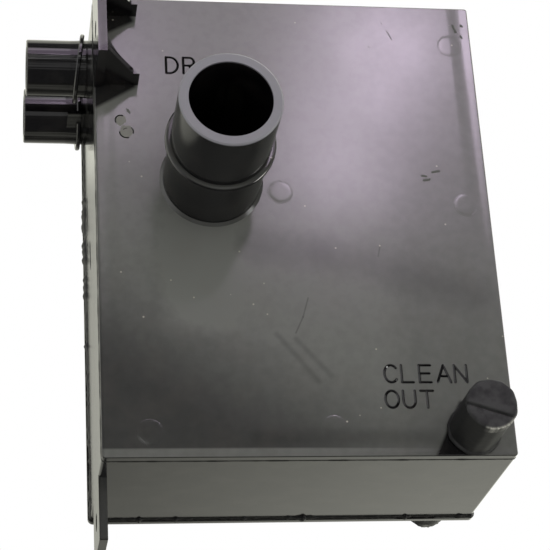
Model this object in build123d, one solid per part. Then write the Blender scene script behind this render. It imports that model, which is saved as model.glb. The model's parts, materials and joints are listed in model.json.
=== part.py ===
"""Condensate trap for a furnace: a welded plastic box with two inlets, a drain and two clean-outs.

The pieces are drawn from the lower left corner of the box's front face, with X to the right,
Y to the back and Z up, in millimetres. At the end they are moved so that the upper screw hole
on the mounting side is the origin.
"""
import os
from math import atan2, degrees, hypot

from build123d import *

# Box
box_width = 108.0
box_height = 136.5
box_depth = 53.7
face_thickness = 2.5
wall_thickness = 2.5
box_edge_radius = 0.8
face_edge_radius = 0.4
cavity_corner_radius = 1.0

# Witness groove behind the front face, and the rebate in front of the rear weld
groove_width = 0.8
groove_depth = 0.5
weld_rebate_width = 1.6
weld_rebate_depth = 0.45

# Rear cover
cover_thickness = 2.3
cover_overhang = 0.7
cover_edge_radius = 0.7
tongue_depth = 2.0
tongue_thickness = 1.5
tongue_clearance = 0.2

# Drain spigot, 3/4 inch pipe size
drain_x = 31.1
drain_z = 79.2
drain_radius = 26.67 / 2
drain_bore_radius = 10.77
drain_length = 44.0
drain_stop_distance = 21.5
drain_stop_height = 1.35
drain_stop_width = 2.0
drain_stop_rounding = 0.9
drain_root_chamfer = 0.8
mouth_chamfer = 0.4

# Two inlet tubes on the left side, 5/8 inch outside
inlet_z = 120.9
inlet_spacing = 27.4
inlet_length = 18.2
inlet_grip_length = 12.0
inlet_tip_radius = 15.88 / 2
inlet_root_radius = 8.2
inlet_bore_radius = 6.0
front_stop_distance = 3.5
front_stop_tilt = 7.0
rear_stop_distance = 2.4
rear_stop_tilt = 0.0
inlet_stop_height = 1.7
inlet_stop_width = 1.2
inlet_chamfer = 0.3
inlet_stop_chamfer = 0.3

# Fin on the front flank of the rear inlet
fin_length = 5.9
fin_reach = 13.2
fin_thickness = 1.0
fin_drop = 5.4

# Upper screw wing with its two gussets
wing_thickness = 2.4
wing_reach = 19.1
wing_drop = 28.9
gusset_thickness = 1.6
gusset_base = 12.0
gusset_land = 6.2
gusset_nose = 10.3
lower_gusset_rise = 0.7
upper_gusset_drop = 5.9
screw_hole_radius = 2.4
upper_hole_drop = 16.5

# Lower screw ear
ear_thickness = 2.2
ear_front = 15.1
ear_width = 22.2
ear_length = 16.6
ear_corner_radius = 0.6
lower_hole_drop = 8.6

# Baffles inside
baffle_thickness = 2.0
shelf_z = 99.0
drop_wall_x = 51.0
slant_high_x = 31.7
slant_high_z = 50.4
slant_low_x = 59.8
slant_low_z = 22.2

# Clean-out ports, front and rear on one axis, and their push-on caps
port_inset = 11.3
port_z = 6.8
port_radius = 5.3
port_bore_radius = 3.6
front_port_length = 17.7
rear_port_length = 6.0
cap_fit_clearance = 0.05
cap_end_clearance = 0.3
cap_foot_gap = 0.5
cap_wall = 1.38
cap_top_thickness = 2.0
cap_lip_flare = 0.45
cap_lip_height = 1.6
cap_top_chamfer = 0.8

# Places worked out from the sizes above
body_depth = box_depth - cover_thickness
port_x = box_width - port_inset
front_inlet_y = (box_depth - inlet_spacing) / 2
rear_inlet_y = front_inlet_y + inlet_spacing
upper_hole_y = -wing_reach / 2
upper_hole_z = box_height - upper_hole_drop
lower_hole_y = ear_front + ear_width / 2
overlap = 1.0


def block(x_range, y_range, z_range):
    """A box between two values on each axis."""
    size = [high - low for low, high in (x_range, y_range, z_range)]
    low_corner = (x_range[0], y_range[0], z_range[0])
    return Pos(*low_corner) * Box(*size, align=(Align.MIN, Align.MIN, Align.MIN))


def rod_y(x, z, radius, y_range):
    """A plain round bar along Y."""
    length = y_range[1] - y_range[0]
    bar = Cylinder(radius, length, align=(Align.CENTER, Align.CENTER, Align.MIN))
    return Pos(x, y_range[0], z) * Rot(-90, 0, 0) * bar


def rod_x(y, z, radius, x_range):
    """A plain round bar along X."""
    length = x_range[1] - x_range[0]
    bar = Cylinder(radius, length, align=(Align.CENTER, Align.CENTER, Align.MIN))
    return Pos(x_range[0], y, z) * Rot(0, 90, 0) * bar


def frame_band(inset, depth, y_range):
    """A band that runs round the box's four sides, from inset inwards by depth."""
    rim = inset - overlap
    core = inset + depth
    outer = block((rim, box_width - rim), y_range, (rim, box_height - rim))
    return outer - block((core, box_width - core), y_range, (core, box_height - core))


def box_shell():
    """The open-backed box with its rounded edges, the groove and the weld rebate."""
    shell = block((0, box_width), (0, body_depth), (0, box_height))
    shell = fillet(shell.edges().filter_by(Axis.Y), box_edge_radius)
    shell = fillet(shell.faces().sort_by(Axis.Y)[0].edges(), face_edge_radius)
    shell -= frame_band(0, groove_depth, (face_thickness, face_thickness + groove_width))
    shell -= frame_band(0, weld_rebate_depth, (body_depth - weld_rebate_width, body_depth))
    return shell - cavity()


def cavity():
    """The room inside the box, open at the back."""
    room = block(
        (wall_thickness, box_width - wall_thickness),
        (face_thickness, body_depth + overlap),
        (wall_thickness, box_height - wall_thickness),
    )
    return fillet(room.edges().filter_by(Axis.Y), cavity_corner_radius)


def baffles(growth=0.0):
    """Shelf, drop wall and slanted baffle, which make the water seal. Growth thickens them all round."""
    half = baffle_thickness / 2 + growth
    depth_range = (face_thickness - overlap, body_depth)
    left = wall_thickness - overlap
    shelf = block((left, drop_wall_x + half), depth_range, (shelf_z - half, shelf_z + half))

    run = slant_low_x - slant_high_x
    fall = slant_high_z - slant_low_z
    foot_z = slant_high_z - fall * (drop_wall_x - slant_high_x) / run
    drop_wall = block((drop_wall_x - half, drop_wall_x + half), depth_range, (foot_z, shelf_z))

    depth = depth_range[1] - depth_range[0]
    slab = Box(hypot(run, fall) + 2 * growth, depth, 2 * half)
    middle = (
        (slant_high_x + slant_low_x) / 2,
        (depth_range[0] + depth_range[1]) / 2,
        (slant_high_z + slant_low_z) / 2,
    )
    slant = Pos(*middle) * Rot(0, degrees(atan2(fall, run)), 0) * slab
    return shelf + drop_wall + slant


def drain_spigot():
    """The drain tube on the face: a pipe-size spigot with a rounded stop bead."""
    mouth = -drain_length
    outline = Polyline(
        (0, 0),
        (drain_radius + drain_root_chamfer, 0),
        (drain_radius, -drain_root_chamfer),
        (drain_radius, mouth + mouth_chamfer),
        (drain_radius - mouth_chamfer, mouth),
        (0, mouth),
        close=True,
    )
    bead_middle = drain_radius + drain_stop_height / 2 - overlap / 2
    bead = RectangleRounded(drain_stop_height + overlap, drain_stop_width, drain_stop_rounding)
    profile = make_face(outline) + Pos(bead_middle, -drain_stop_distance) * bead
    return Pos(drain_x, 0, drain_z) * revolve(profile, Axis.Y)


def inlet_tube(y, stop_distance, stop_tilt):
    """One inlet tube along -X: a straight grip, a drafted root and a stop ring, which may lean out below."""
    tip = -inlet_length
    outline = Polyline(
        (overlap, 0),
        (overlap, inlet_root_radius),
        (0, inlet_root_radius),
        (tip + inlet_grip_length, inlet_tip_radius),
        (tip + inlet_chamfer, inlet_tip_radius),
        (tip, inlet_tip_radius - inlet_chamfer),
        (tip, 0),
        close=True,
    )
    ring = Rectangle(inlet_stop_width, inlet_stop_height + overlap)
    ring = chamfer(ring.vertices().group_by(Axis.Y)[-1], inlet_stop_chamfer)
    ring_middle = inlet_root_radius + inlet_stop_height / 2 - overlap / 2
    stop = Pos(-stop_distance, 0, 0) * Rot(0, stop_tilt, 0) * revolve(Pos(0, ring_middle) * ring, Axis.X)
    return Pos(0, y, inlet_z) * (revolve(make_face(outline), Axis.X) + stop)


def inlet_fin():
    """The flat fin that stands forward from the rear inlet's flank."""
    top = inlet_z - fin_drop
    y_range = (rear_inlet_y - fin_reach, rear_inlet_y)
    return block((-fin_length, overlap), y_range, (top - fin_thickness, top))


def screw_wing():
    """The upper screw plate in front of the face, with a gusset at each end."""
    bottom = box_height - wing_drop
    plate = block((0, wing_thickness), (-wing_reach, overlap), (bottom, box_height))
    outline = Polyline(
        (0, overlap),
        (0, -wing_reach),
        (wing_thickness, -wing_reach),
        (gusset_nose, -gusset_land),
        (gusset_base, -gusset_land),
        (gusset_base, overlap),
        close=True,
    )
    gusset = extrude(make_face(outline), gusset_thickness)
    lower = Pos(0, 0, bottom + lower_gusset_rise) * gusset
    upper = Pos(0, 0, box_height - upper_gusset_drop) * gusset
    return plate + lower + upper


def screw_ear():
    """The lower screw ear under the left wall, square at its end."""
    ear = block((0, ear_thickness), (ear_front, ear_front + ear_width), (-ear_length, overlap))
    end_corners = ear.edges().filter_by(Axis.X).group_by(Axis.Z)[0]
    return fillet(end_corners, ear_corner_radius)


def port_stub(foot_y, direction, length):
    """A clean-out stub that stands on foot_y, towards -Y or +Y, with a chamfered lip."""
    outline = Polyline(
        (0, -overlap),
        (port_radius, -overlap),
        (port_radius, length - mouth_chamfer),
        (port_radius - mouth_chamfer, length),
        (0, length),
        close=True,
    )
    stub = revolve(make_face(outline), Axis.Y)
    turn = Rot(0, 0, 0) if direction > 0 else Rot(180, 0, 0)
    return Pos(port_x, foot_y, port_z) * turn * stub


def trap_body():
    """The front moulding: face, walls, baffles, spigots, wing and ear in one piece."""
    body = box_shell() + baffles()
    body += drain_spigot()
    body += inlet_tube(front_inlet_y, front_stop_distance, front_stop_tilt)
    body += inlet_tube(rear_inlet_y, rear_stop_distance, rear_stop_tilt)
    body += inlet_fin()
    body += [screw_wing(), screw_ear()]
    body += port_stub(0, -1, front_port_length)

    body -= rod_y(drain_x, drain_z, drain_bore_radius, (-drain_length - overlap, face_thickness))
    for y in (front_inlet_y, rear_inlet_y):
        body -= rod_x(y, inlet_z, inlet_bore_radius, (-inlet_length - overlap, wall_thickness))
    body -= rod_y(port_x, port_z, port_bore_radius, (-front_port_length - overlap, face_thickness))
    body -= rod_x(upper_hole_y, upper_hole_z, screw_hole_radius, (-overlap, wing_thickness + overlap))
    body -= rod_x(lower_hole_y, -lower_hole_drop, screw_hole_radius, (-overlap, ear_thickness + overlap))
    return body


def rear_cover():
    """The welded back plate with its locating tongue and the rear clean-out stub."""
    plate = block(
        (-cover_overhang, box_width + cover_overhang),
        (body_depth, box_depth),
        (-cover_overhang, box_height + cover_overhang),
    )
    plate = fillet(plate.edges().filter_by(Axis.Y), box_edge_radius + cover_overhang)
    plate = fillet(plate.faces().sort_by(Axis.Y)[-1].edges(), cover_edge_radius)

    outside = wall_thickness + tongue_clearance
    inside = outside + tongue_thickness
    y_range = (body_depth - tongue_depth, body_depth)
    tongue = block((outside, box_width - outside), y_range, (outside, box_height - outside))
    tongue = fillet(tongue.edges().filter_by(Axis.Y), cavity_corner_radius)
    tongue -= block((inside, box_width - inside), y_range, (inside, box_height - inside))
    tongue -= baffles(tongue_clearance)

    cover = plate + tongue + port_stub(box_depth, 1, rear_port_length)
    bore_range = (body_depth - tongue_depth - overlap, box_depth + rear_port_length + overlap)
    return cover - rod_y(port_x, port_z, port_bore_radius, bore_range)


def push_cap(foot_y, direction, port_length):
    """A soft cap over a clean-out stub: a closed tube with a flared lip and a rounded top."""
    inner = port_radius + cap_fit_clearance
    outer = inner + cap_wall
    roof = port_length + cap_end_clearance
    top = roof + cap_top_thickness
    outline = Polyline(
        (0, cap_foot_gap),
        (outer + cap_lip_flare, cap_foot_gap),
        (outer + cap_lip_flare, cap_foot_gap + cap_lip_height / 2),
        (outer, cap_foot_gap + cap_lip_height),
        (outer, top),
        (0, top),
        close=True,
    )
    cap = revolve(make_face(outline), Axis.Y)
    cap = chamfer(cap.faces().sort_by(Axis.Y)[-1].edges(), cap_top_chamfer)
    cap -= rod_y(0, 0, inner, (cap_foot_gap - overlap, roof))
    turn = Rot(0, 0, 0) if direction > 0 else Rot(180, 0, 0)
    return Pos(port_x, foot_y, port_z) * turn * cap


def main():
    """Build every piece, move it into the part frame and write its file."""
    pieces = {
        "trap_body": trap_body(),
        "rear_cover": rear_cover(),
        "cleanout_cap": push_cap(0, -1, front_port_length),
        "rear_cleanout_cap": push_cap(box_depth, 1, rear_port_length),
    }
    to_part_frame = Pos(0, -upper_hole_y, -upper_hole_z)
    os.makedirs("parts", exist_ok=True)
    for name, piece in pieces.items():
        solid = (to_part_frame * piece).solid()
        print(name, round(solid.volume / 1000, 2), "cm3")
        export_step(solid, f"parts/{name}.step")


if __name__ == "__main__":
    main()
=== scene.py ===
"""Looks of a black condensate trap: a welded ABS box with two inlets, a drain and soft clean-out caps.

The part's frame has its origin at the upper screw hole. +X runs along the screws, +Z is up and the
drain's mouth points to -Y. Sizes and places are in millimetres until a mesh is made. Places on the
box are counted from the lower left corner of its front face, and so are the points of every grid.
"""
from __future__ import annotations

import json
import logging
from dataclasses import dataclass
from enum import Enum
from math import pi

import bmesh
import bpy
import numpy as np
from mathutils import Matrix, Vector

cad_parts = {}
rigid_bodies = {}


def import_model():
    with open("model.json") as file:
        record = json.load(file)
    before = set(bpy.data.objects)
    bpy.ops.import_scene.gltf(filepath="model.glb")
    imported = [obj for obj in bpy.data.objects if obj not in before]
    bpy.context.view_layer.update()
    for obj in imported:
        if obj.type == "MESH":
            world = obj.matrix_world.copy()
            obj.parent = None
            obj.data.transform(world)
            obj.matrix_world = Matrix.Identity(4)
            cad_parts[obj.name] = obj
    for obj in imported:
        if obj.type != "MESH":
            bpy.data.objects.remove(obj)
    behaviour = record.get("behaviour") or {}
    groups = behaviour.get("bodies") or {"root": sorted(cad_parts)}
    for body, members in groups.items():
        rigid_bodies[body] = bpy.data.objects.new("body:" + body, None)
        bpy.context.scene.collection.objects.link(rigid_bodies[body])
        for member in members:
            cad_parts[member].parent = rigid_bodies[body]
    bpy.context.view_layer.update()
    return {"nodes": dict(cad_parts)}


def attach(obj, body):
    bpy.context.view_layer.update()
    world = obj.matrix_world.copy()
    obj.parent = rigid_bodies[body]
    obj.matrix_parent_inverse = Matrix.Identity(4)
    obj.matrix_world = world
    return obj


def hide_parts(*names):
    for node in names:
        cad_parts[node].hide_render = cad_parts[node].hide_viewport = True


for leftover in list(bpy.data.objects):
    bpy.data.objects.remove(leftover)
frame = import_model()

log = logging.getLogger("condensate_trap")

MM = 0.001
FACE_CORNER = (0.0, 9.55, -120.0)
SMOOTH_ANGLE = np.radians(38.0)
MERGE_DISTANCE = 1e-7
ABS_IOR = 1.53
WHITE = (1.0, 1.0, 1.0, 1.0)

Socket = bpy.types.NodeSocket
Material = bpy.types.Material
Piece = bpy.types.Object
Grid = tuple[np.ndarray, bool, bool]


class Slot(str, Enum):
    """Material slots of the record."""

    ABS = "moulded_abs"
    VINYL = "soft_vinyl"


class Body(str, Enum):
    """Bodies that a piece can ride on."""

    TRAP = "trap"
    FRONT_CAP = "front_cap"
    REAR_CAP = "rear_cap"


def linear(hex_code: str) -> tuple[float, float, float, float]:
    """Turn an sRGB hex value into linear RGBA.

    Args:
        hex_code: Colour as "#rrggbb".

    Returns:
        Linear red, green, blue and an alpha of 1.
    """
    channels = [int(hex_code[i:i + 2], 16) / 255 for i in (1, 3, 5)]
    curve = [c / 12.92 if c <= 0.04045 else ((c + 0.055) / 1.055) ** 2.4 for c in channels]
    return (*curve, 1.0)


def from_corner(values: tuple[float, ...], axis: int) -> list[float]:
    """Turn places counted from the face's corner into metres in the part's frame.

    Args:
        values: Places along one axis, in millimetres.
        axis: 0 for X, 1 for Y and 2 for Z.

    Returns:
        The same places in metres.
    """
    return [(value + FACE_CORNER[axis]) * MM for value in values]


@dataclass(frozen=True)
class Graph:
    """A node tree, with the few kinds of node that the finishes and the world are made of.

    A speck fades out between the two shares of its cell's width in speck_edge, and a cell has one
    where its random value is above speck_rarity.
    """

    tree: bpy.types.NodeTree
    speck_edge: tuple[float, float] = (0.11, 0.04)
    speck_rarity: float = 0.86

    def add(self, kind: str, inputs: dict | None = None, **settings) -> bpy.types.Node:
        """Add one node with its settings, socket values and links.

        Args:
            kind: Class name of the node, such as "ShaderNodeMath".
            inputs: Socket name or number to a value, or to the output socket to link from.
            settings: Options of the node itself, such as operation="ADD".

        Returns:
            The new node.
        """
        node = self.tree.nodes.new(kind)
        for option, value in settings.items():
            setattr(node, option, value)
        for key, value in (inputs or {}).items():
            socket = node.inputs[key]
            if isinstance(value, Socket):
                self.tree.links.new(value, socket)
            else:
                socket.default_value = value
        return node

    def math(self, operation: str, *values: Socket | float) -> Socket:
        """Add one Math node.

        Args:
            operation: Name of the operation, such as "SUBTRACT".
            values: Its one to three sockets or numbers.

        Returns:
            The result's socket.
        """
        return self.add("ShaderNodeMath", dict(enumerate(values)), operation=operation).outputs[0]

    def chain(self, operation: str, first: Socket | float, *others: Socket | float) -> Socket:
        """Take values together one after another with the same operation.

        Args:
            operation: Name of the operation, such as "MULTIPLY".
            first: First socket or number.
            others: The sockets or numbers that follow it.

        Returns:
            The result's socket.
        """
        for other in others:
            first = self.math(operation, first, other)
        return first

    def ramp(self, value: Socket, low: float, high: float, start: float = 0.0, end: float = 1.0) -> Socket:
        """Turn a value into a smooth step.

        Args:
            value: Socket to read.
            low: Value at which the step starts.
            high: Value at which the step ends.
            start: Result at low and before it.
            end: Result at high and after it.

        Returns:
            The step's socket.
        """
        inputs = {"Value": value, "From Min": low, "From Max": high, "To Min": start, "To Max": end}
        return self.add("ShaderNodeMapRange", inputs, interpolation_type="SMOOTHSTEP").outputs["Result"]

    def between(self, share: Socket, start: Socket | float, end: Socket | float) -> Socket:
        """Mix two numbers.

        Args:
            share: Socket that is 0 for the first number and 1 for the second.
            start: First number.
            end: Second number.

        Returns:
            The mixed number's socket.
        """
        inputs = {"Value": share, "To Min": start, "To Max": end}
        return self.add("ShaderNodeMapRange", inputs).outputs["Result"]

    def layered(self, base: str, *layers: tuple[Socket, str]) -> Socket:
        """Lay colours over one another.

        Args:
            base: Lowest colour.
            layers: For each further colour how much of it covers those below, and the colour.

        Returns:
            The mixed colour's socket.
        """
        mixed = linear(base)
        for share, colour in layers:
            inputs = {0: share, 6: mixed, 7: linear(colour)}
            mixed = self.add("ShaderNodeMix", inputs, data_type="RGBA").outputs[2]
        return mixed

    def axes(self, vector: Socket) -> bpy.types.NodeOutputs:
        """Split a vector into its X, Y and Z sockets."""
        return self.add("ShaderNodeSeparateXYZ", {"Vector": vector}).outputs

    def noise(self, place: Socket, size_mm: float, detail: float) -> Socket:
        """Add a noise whose blots are about size_mm across.

        Args:
            place: Object coordinates.
            size_mm: Size of a blot.
            detail: Number of finer layers.

        Returns:
            The noise's socket.
        """
        inputs = {"Vector": place, "Scale": 1 / (size_mm * MM), "Detail": detail}
        return self.add("ShaderNodeTexNoise", inputs).outputs[0]

    def specks(self, place: Socket, size_mm: float) -> Socket:
        """Add sparse dust specks: small dots round some of the points of a cell pattern.

        Args:
            place: Object coordinates.
            size_mm: Width of a cell.

        Returns:
            1 on a speck and 0 elsewhere.
        """
        inputs = {"Vector": place, "Scale": 1 / (size_mm * MM)}
        cells = self.add("ShaderNodeTexVoronoi", inputs, feature="F1").outputs
        dot = self.ramp(cells["Distance"], *self.speck_edge)
        return self.math("MULTIPLY", dot, self.math("GREATER_THAN", cells["Color"], self.speck_rarity))

    def forward_facing(self, low: float, high: float) -> Socket:
        """Add a smooth step on how far a surface faces the front, which is -Y.

        Args:
            low: Normal's Y at which the step starts.
            high: Normal's Y at which it ends.

        Returns:
            The step's socket.
        """
        normal = self.add("ShaderNodeTexCoord").outputs["Normal"]
        return self.ramp(self.axes(normal)["Y"], low, high)

    def background(self, colour: Socket | tuple[float, ...], strength: Socket | float) -> Socket:
        """Add a background of a colour and a strength."""
        return self.add("ShaderNodeBackground", {"Color": colour, "Strength": strength}).outputs[0]

    def finish(self, inputs: dict, height: Socket, strength: float = 1.0, distance: float = 1.0) -> None:
        """Add the bump, the shader and the output.

        Args:
            inputs: Values and sockets of the shader.
            height: Height of the fine relief.
            strength: How much of the relief shows.
            distance: What a height of 1 stands for, in metres.
        """
        bump = self.add("ShaderNodeBump", {"Strength": strength, "Distance": distance, "Height": height})
        shader = self.add("ShaderNodeBsdfPrincipled", inputs | {"Normal": bump.outputs["Normal"]})
        self.add("ShaderNodeOutputMaterial", {"Surface": shader.outputs["BSDF"]})


def place_object(name: str, data: bpy.types.ID) -> Piece:
    """Make an object of a mesh, a lamp or a camera, and link it to the scene."""
    made = bpy.data.objects.new(name, data)
    bpy.context.scene.collection.objects.link(made)
    return made


def mesh_object(name: str, grids: list[Grid]) -> Piece:
    """Make one mesh object from grids of points.

    A point (i, j) of a grid is joined to (i + 1, j) and (i, j + 1), and a wrapped side joins its
    last line to its first. Points that fall together at a pole are merged.

    Args:
        name: Name of the piece.
        grids: For each grid its points, and whether its rows and its columns wrap.

    Returns:
        The linked object, with its place in its mesh and smooth faces that point outwards.
    """
    points, faces, start = [], [], 0
    for grid, wrap_rows, wrap_columns in grids:
        rows, columns = grid.shape[:2]
        index = start + np.arange(rows * columns).reshape(rows, columns)
        if wrap_rows:
            index = np.vstack([index, index[:1]])
        if wrap_columns:
            index = np.hstack([index, index[:, :1]])
        corners = [index[:-1, :-1], index[1:, :-1], index[1:, 1:], index[:-1, 1:]]
        faces.append(joined(*[corner.ravel() for corner in corners]))
        points.append(grid.reshape(-1, 3) + FACE_CORNER)
        start += rows * columns
    mesh = bpy.data.meshes.new(name)
    mesh.from_pydata((np.vstack(points) * MM).tolist(), [], np.vstack(faces).tolist())
    merged = bmesh.new()
    merged.from_mesh(mesh)
    bmesh.ops.remove_doubles(merged, verts=merged.verts, dist=MERGE_DISTANCE)
    bmesh.ops.dissolve_degenerate(merged, edges=merged.edges, dist=MERGE_DISTANCE)
    bmesh.ops.recalc_face_normals(merged, faces=merged.faces)
    merged.to_mesh(mesh)
    merged.free()
    mesh.polygons.foreach_set("use_smooth", np.ones(len(mesh.polygons), bool))
    mesh.set_sharp_from_angle(angle=SMOOTH_ANGLE)
    return place_object(name, mesh)


def settle(piece: Piece, body: Body, material: Material) -> None:
    """Give a finished piece its material and the body it rides on.

    Args:
        piece: The piece.
        body: Body that carries it.
        material: Its finish.
    """
    piece.data.materials.clear()
    piece.data.materials.append(material)
    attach(piece, body.value)
    log.info("%s rides on %s, %d faces", piece.name, body.value, len(piece.data.polygons))


def joined(*coordinates: np.ndarray | float) -> np.ndarray:
    """Join coordinates to points. Each may be one number, or the same along its rows or columns."""
    return np.stack(np.broadcast_arrays(*coordinates), axis=-1)


def carried(path: np.ndarray, normal: np.ndarray, out: np.ndarray, y: np.ndarray) -> np.ndarray:
    """Carry a section along a path in X and Z, at right angles to it.

    Args:
        path: Points of the path.
        normal: At each of them, the direction in which the section stands out.
        out: How far each point of the section stands out.
        y: How far it is behind the face.

    Returns:
        Grid with one row for each point of the path.
    """
    return joined(path[:, :1] + normal[:, :1] * out, y, path[:, 1:] + normal[:, 1:] * out)


def wobble(angle: np.ndarray, seed: int, waves: tuple[int, ...]) -> np.ndarray:
    """Uneven but repeatable values along a closed line.

    The value is a sum of sines of the given whole wave counts, each with its own phase and with an
    amplitude that falls with the square root of its count, scaled to stay within about 1.

    Args:
        angle: Place along the line, in radians from 0 to 2 pi.
        seed: Seed of the phases.
        waves: Wave counts.

    Returns:
        Array of the same shape as angle.
    """
    draw = np.random.default_rng(seed)
    total = np.zeros_like(angle)
    for count in waves:
        total += np.sin(count * angle + draw.uniform(0, 2 * pi)) / np.sqrt(count / waves[0])
    return total / np.sqrt(len(waves))


def swelling(x: float, z: float, radius: float, rise: float, power: float, ragged: float) -> Grid:
    """A low round swelling on the face.

    Its height at a distance r from the middle is rise times 1 - (r / radius) to a power. The
    radius follows a sum of sines round the middle. Its rear is inside the wall.

    Args:
        x: Middle's X on the face.
        z: Middle's Z on the face.
        radius: Mean radius.
        rise: Height in the middle.
        power: How flat the top is.
        ragged: Unevenness of the outline, as a share of the radius.

    Returns:
        The grid, whose rows wrap.
    """
    sunk = 0.2
    turn = np.linspace(0, 2 * pi, 64, endpoint=False)[:, None]
    share = np.linspace(0, 1, 14)
    reach = np.append(share, [1, 0]) * radius * (1 + ragged * wobble(turn, 17, (2, 3, 5)))
    behind = np.append(-rise * (1 - share ** power), [sunk, sunk])
    return joined(x + reach * np.cos(turn), behind, z + reach * np.sin(turn)), True, False


def ridge(path: np.ndarray, width: float, height: float) -> Grid:
    """Carry a pointed ridge along a line on the face, tapered past each end.

    The section is a triangle whose foot is inside the wall. Past each end it is multiplied by the
    square root of 1 - t squared, where t runs from 0 at the end to 1 one half width further on.

    Args:
        path: Points of the line in X and Z.
        width: Width on the face.
        height: Height of the crest.

    Returns:
        The grid, whose columns wrap.
    """
    half, foot = width / 2, 0.15
    overshoot = np.sin(np.linspace(0, pi / 2, 5))
    step = np.gradient(path, axis=0)
    ahead = step / np.linalg.norm(step, axis=1)[:, None]
    head = path[0] - overshoot[::-1, None] * half * ahead[0]
    tail = path[-1] + overshoot[:, None] * half * ahead[-1]
    shrink = np.sqrt(np.clip(1 - overshoot ** 2, 0, None))
    scale = np.concatenate([shrink[::-1], np.ones(len(path) - 2), shrink])[:, None]
    heading = np.vstack([np.repeat(ahead[:1], 5, 0), ahead[1:-1], np.repeat(ahead[-1:], 5, 0)])
    sideways = joined(-heading[:, 1], heading[:, 0])
    out = scale * half * np.array([-1, -1, 0, 1, 1])
    behind = scale * np.array([foot, 0, -height, 0, foot])
    return carried(np.vstack([head, path[1:-1], tail]), sideways, out, behind), False, True


def line(start: tuple[float, float], end: tuple[float, float]) -> np.ndarray:
    """A straight stroke.

    Args:
        start: First point.
        end: Last point.

    Returns:
        Points along the stroke.
    """
    share = np.linspace(0, 1, 9)[:, None]
    return np.array(start) * (1 - share) + np.array(end) * share


def arc(centre: tuple[float, float], radii: tuple[float, float], start: float, end: float) -> np.ndarray:
    """A stroke along an ellipse, from one angle to another.

    Args:
        centre: Middle of the ellipse.
        radii: Its two radii.
        start: First angle in degrees, counted anticlockwise from the right.
        end: Last angle in degrees.

    Returns:
        Points along the stroke.
    """
    angle = np.radians(np.linspace(start, end, 49))
    return joined(centre[0] + radii[0] * np.cos(angle), centre[1] + radii[1] * np.sin(angle))


LETTERS: dict[str, list[np.ndarray]] = {
    "A": [line((0, 0), (0.5, 1)), line((0.5, 1), (1, 0)), line((0.2, 0.36), (0.8, 0.36))],
    "C": [arc((0.55, 0.5), (0.5, 0.5), 42, 318)],
    "D": [line((0, 0), (0, 1)), arc((0.25, 0.5), (0.68, 0.5), -90, 90),
          line((0, 0), (0.25, 0)), line((0, 1), (0.25, 1))],
    "E": [line((0, 0), (0, 1)), line((0, 0), (0.85, 0)),
          line((0, 0.52), (0.75, 0.52)), line((0, 1), (0.85, 1))],
    "I": [line((0.45, 0), (0.45, 1))],
    "L": [line((0, 0), (0, 1)), line((0, 0), (0.85, 0))],
    "N": [line((0, 0), (0, 1)), line((0, 1), (0.9, 0)), line((0.9, 0), (0.9, 1))],
    "O": [arc((0.5, 0.5), (0.48, 0.5), 0, 180), arc((0.5, 0.5), (0.48, 0.5), 180, 360)],
    "R": [line((0, 0), (0, 1)), line((0, 1), (0.5, 1)), line((0, 0.5), (0.5, 0.5)),
          arc((0.5, 0.75), (0.35, 0.25), -90, 90), line((0.45, 0.5), (0.88, 0))],
    "T": [line((0, 1), (0.9, 1)), line((0.45, 0), (0.45, 1))],
    "U": [line((0.02, 0.4), (0.02, 1)), arc((0.45, 0.4), (0.43, 0.4), 180, 360),
          line((0.88, 0.4), (0.88, 1))],
}


@dataclass(frozen=True)
class Finish:
    """A material on Object coordinates. Each kind of finish adds its own nodes."""

    name: str

    def build(self) -> Material:
        """Build the material.

        Returns:
            The finished node material.
        """
        material = bpy.data.materials.new(self.name)
        material.use_nodes = True
        graph = Graph(material.node_tree)
        graph.tree.nodes.clear()
        self.add_nodes(graph, graph.add("ShaderNodeTexCoord").outputs["Object"])
        return material

    def add_nodes(self, graph: Graph, place: Socket) -> None:
        """Add the finish's own nodes.

        Args:
            graph: Graph of the material.
            place: Object coordinates.
        """
        raise NotImplementedError


@dataclass(frozen=True)
class DustAndShadeStripe:
    """A straight stripe on the face where the bloom is lowered, or raised where the loss is negative.

    Some stripes are less dust, and others are painted shade or painted light. The loss is whole
    within the core, a share of the half width, and fades out to the half width.
    """

    start: tuple[float, float]
    end: tuple[float, float]
    half_width_mm: float = 1.3
    loss: float = 0.2
    core: float = 0.0

    def build(self, graph: Graph, axes: bpy.types.NodeOutputs) -> Socket:
        """Add the share of the dust that is left: 1 away from the stripe.

        Args:
            graph: Graph of the material.
            axes: X, Y and Z sockets of Object coordinates.

        Returns:
            The share's socket.
        """
        run = np.array(self.end) - self.start
        length = float(np.hypot(*run))
        along_x, along_z = (run / length).tolist()
        x = graph.math("SUBTRACT", axes["X"], *from_corner(self.start[:1], 0))
        z = graph.math("SUBTRACT", axes["Z"], *from_corner(self.start[1:], 2))
        along = graph.math("MULTIPLY_ADD", x, along_x, graph.math("MULTIPLY", z, along_z))
        across = graph.math("MULTIPLY_ADD", x, -along_z, graph.math("MULTIPLY", z, along_x))
        fade, core = self.half_width_mm * MM, self.core * self.half_width_mm * MM
        far = length * MM
        mask = graph.chain(
            "MULTIPLY", graph.ramp(graph.math("ABSOLUTE", across), fade, core),
            graph.ramp(along, -fade, -core), graph.ramp(along, far + fade, far + core),
        )
        return graph.math("MULTIPLY_ADD", mask, -self.loss, 1.0)


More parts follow.
